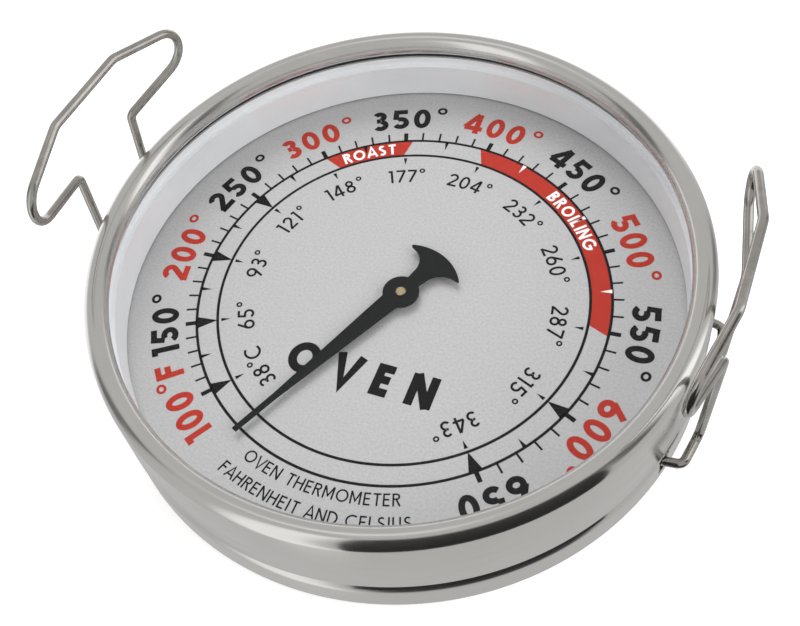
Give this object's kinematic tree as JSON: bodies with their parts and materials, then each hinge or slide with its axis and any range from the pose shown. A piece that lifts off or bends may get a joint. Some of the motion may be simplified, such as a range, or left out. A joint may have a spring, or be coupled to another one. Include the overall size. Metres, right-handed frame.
{
  "type": "oven thermometer",
  "caption": "Round steel dial thermometer that stands on its flat back on a rack or grill, with a glass window, a bimetal pointer and folding wire handles.",
  "frame": {"origin": "centre of the base's flat underside", "axes": "+Z out of the dial, +X to the three o'clock side with the right-hand handle, +Y to the twelve o'clock side"},
  "size_m": [0.1014, 0.095, 0.0412],
  "materials": {
    "case_steel": "satin stainless sheet, turned",
    "bezel_steel": "satin stainless, brushed round its rim",
    "lens_glass": "clear flat window",
    "gasket_rubber": "matt black",
    "polished_ring": "bright turned inner wall",
    "dial_paint": "satin silver with black and red printing",
    "movement_steel": "plain pressed steel",
    "movement_brass": "turned",
    "bimetal_strip": "rolled strip",
    "pointer_black": "matt black, lightly textured",
    "handle_wire": "drawn stainless wire"
  },
  "bodies": {
    "case": {"base_cup": "case_steel", "bezel": "bezel_steel", "lens": "lens_glass", "lens_gasket": "gasket_rubber", "spacer_ring": "polished_ring", "dial_plate": "dial_paint", "movement_bridge": "movement_steel", "bridge_rivet_front": "movement_steel", "bridge_rivet_rear": "movement_steel", "upper_bushing": "movement_brass", "lower_bearing": "movement_brass", "bimetal_coil": "bimetal_strip", "coil_post": "movement_brass"},
    "pointer": {"arbor": "movement_steel", "arbor_clip": "movement_steel", "coil_collet": "movement_brass", "pointer_boss": "movement_brass", "pointer": "pointer_black"},
    "left_handle": {"left_handle": "handle_wire"},
    "right_handle": {"right_handle": "handle_wire"}
  },
  "joints": [
    {"name": "pointer_turn", "type": "hinge", "parent": "case", "child": "pointer", "pos_m": [0, 0, 0.0088], "axis": [0, 0, 1], "range_deg": [-293.7, 15], "stiffness_Nm_per_rad": 0.0005},
    {"name": "left_handle_fold", "type": "hinge", "parent": "case", "child": "left_handle", "pos_m": [-0.0454, 0, 0.0044], "axis": [0, -1, 0], "range_deg": [-0.8, 49]},
    {"name": "right_handle_fold", "type": "hinge", "parent": "case", "child": "right_handle", "pos_m": [0.0454, 0, 0.0044], "axis": [0, 1, 0], "range_deg": [-5.5, 44]}
  ]
}
